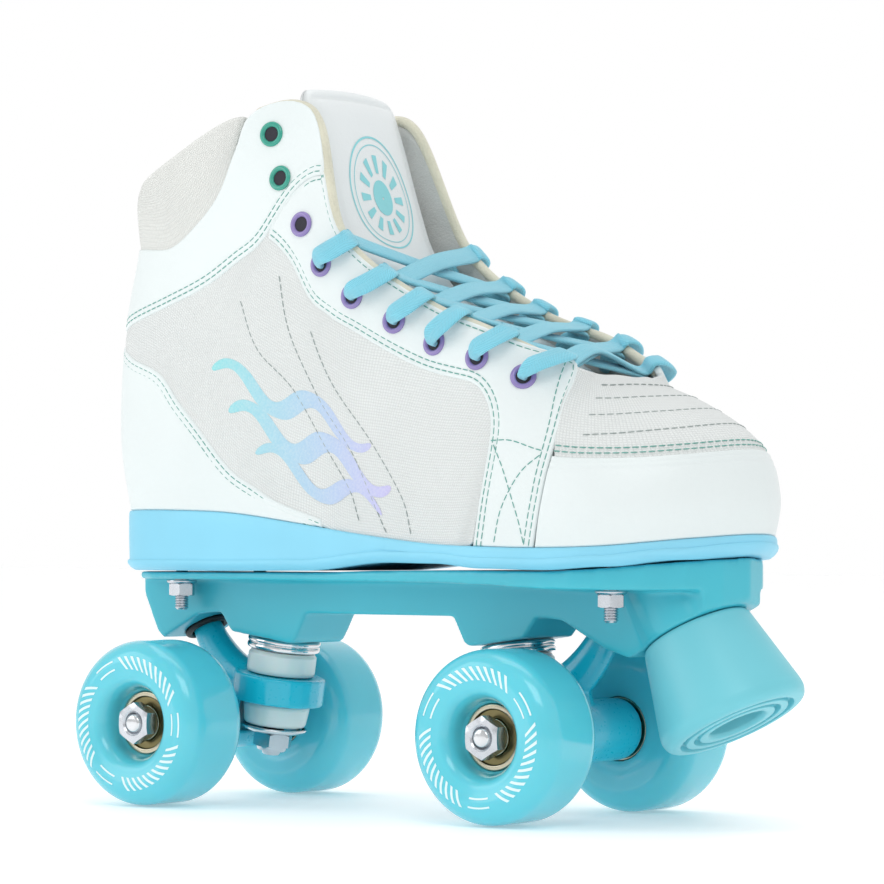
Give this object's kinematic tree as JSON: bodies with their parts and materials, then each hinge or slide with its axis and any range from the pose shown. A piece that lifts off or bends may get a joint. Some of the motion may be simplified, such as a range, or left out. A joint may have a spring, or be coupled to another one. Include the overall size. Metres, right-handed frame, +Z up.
{
  "type": "quad roller skate",
  "caption": "Quad roller skate: a laced, padded ankle boot on a moulded plate with cushioned steering trucks, wheels that roll on bearings and an angled toe stop.",
  "frame": {"origin": "middle of the bounding box in X and Y, on the floor that the wheels stand on", "axes": "+X points to the toe, +Y to the wearer's left, which is the inner side of the foot, +Z up"},
  "size_m": [0.2764, 0.1152, 0.2531],
  "materials": {
    "leather": "smooth, satin",
    "canvas": "woven, matte",
    "lining": "soft, matte",
    "lace": "braided flat cord",
    "sole": "moulded, satin",
    "nylon": "moulded, satin",
    "hanger": "powder coated",
    "urethane": "cast, glossy",
    "stopper": "moulded, satin",
    "cushion": "cast, satin",
    "rubber": "moulded, matte",
    "steel": "plated",
    "bearing": "ground"
  },
  "bodies": {
    "boot_and_plate": {"kingpin_rear": "steel", "kingpin_nut_rear": "steel", "washer_upper_rear": "steel", "cushion_upper_rear": "cushion", "cushion_lower_rear": "cushion", "washer_lower_rear": "steel", "pivot_cup_rear": "rubber", "kingpin_front": "steel", "kingpin_nut_front": "steel", "washer_upper_front": "steel", "cushion_upper_front": "cushion", "cushion_lower_front": "cushion", "washer_lower_front": "steel", "pivot_cup_front": "rubber", "plate": "nylon", "toe_stop": "stopper", "toe_stop_bolt": "steel", "mount_bolt_rear_left": "steel", "mount_nut_rear_left": "steel", "mount_bolt_rear_right": "steel", "mount_nut_rear_right": "steel", "mount_bolt_front_left": "steel", "mount_nut_front_left": "steel", "mount_bolt_front_right": "steel", "mount_nut_front_right": "steel", "outsole": "sole", "insole": "lining", "heel_counter": "leather", "ankle_panel": "leather", "collar": "canvas", "facing_left": "leather", "quarter_left": "canvas", "facing_right": "leather", "quarter_right": "canvas", "toe_cap": "leather", "vamp": "canvas", "tongue_lower": "leather", "lace": "lace"},
    "rear_truck": {"hanger_rear": "hanger", "axle_rear": "steel", "axle_nut_rear_left": "steel", "axle_nut_rear_right": "steel"},
    "front_truck": {"hanger_front": "hanger", "axle_front": "steel", "axle_nut_front_left": "steel", "axle_nut_front_right": "steel"},
    "rear_left_wheel": {"wheel_rear_left": "urethane", "bearing_outer_rear_left": "bearing", "bearing_inner_rear_left": "bearing"},
    "rear_right_wheel": {"wheel_rear_right": "urethane", "bearing_outer_rear_right": "bearing", "bearing_inner_rear_right": "bearing"},
    "front_left_wheel": {"wheel_front_left": "urethane", "bearing_outer_front_left": "bearing", "bearing_inner_front_left": "bearing"},
    "front_right_wheel": {"wheel_front_right": "urethane", "bearing_outer_front_right": "bearing", "bearing_inner_front_right": "bearing"},
    "tongue_top": {"tongue_upper": "leather"}
  },
  "joints": [
    {"name": "rear_steer", "type": "hinge", "parent": "boot_and_plate", "child": "rear_truck", "pos_m": [-0.0756, 0, 0.0404], "axis": [0.8234, 0, -0.5674], "range_deg": [-6, 6], "stiffness_Nm_per_rad": 20, "deforming": ["cushion_upper_rear", "cushion_lower_rear"]},
    {"name": "front_steer", "type": "hinge", "parent": "boot_and_plate", "child": "front_truck", "pos_m": [0.0316, 0, 0.0404], "axis": [-0.8234, 0, -0.5674], "range_deg": [-6, 6], "stiffness_Nm_per_rad": 20, "deforming": ["cushion_upper_front", "cushion_lower_front"]},
    {"name": "rear_left_roll", "type": "hinge", "parent": "rear_truck", "child": "rear_left_wheel", "pos_m": [-0.097, 0.0418, 0.029], "axis": [0, 1, 0], "continuous": true},
    {"name": "rear_right_roll", "type": "hinge", "parent": "rear_truck", "child": "rear_right_wheel", "pos_m": [-0.097, -0.0418, 0.029], "axis": [0, 1, 0], "continuous": true},
    {"name": "front_left_roll", "type": "hinge", "parent": "front_truck", "child": "front_left_wheel", "pos_m": [0.053, 0.0418, 0.029], "axis": [0, 1, 0], "continuous": true},
    {"name": "front_right_roll", "type": "hinge", "parent": "front_truck", "child": "front_right_wheel", "pos_m": [0.053, -0.0418, 0.029], "axis": [0, 1, 0], "continuous": true},
    {"name": "tongue_bend", "type": "hinge", "parent": "boot_and_plate", "child": "tongue_top", "pos_m": [-0.0345, 0, 0.2125], "axis": [0, 1, 0], "range_deg": [-5, 25], "stiffness_Nm_per_rad": 0.3, "deforming": ["tongue_upper"]}
  ]
}
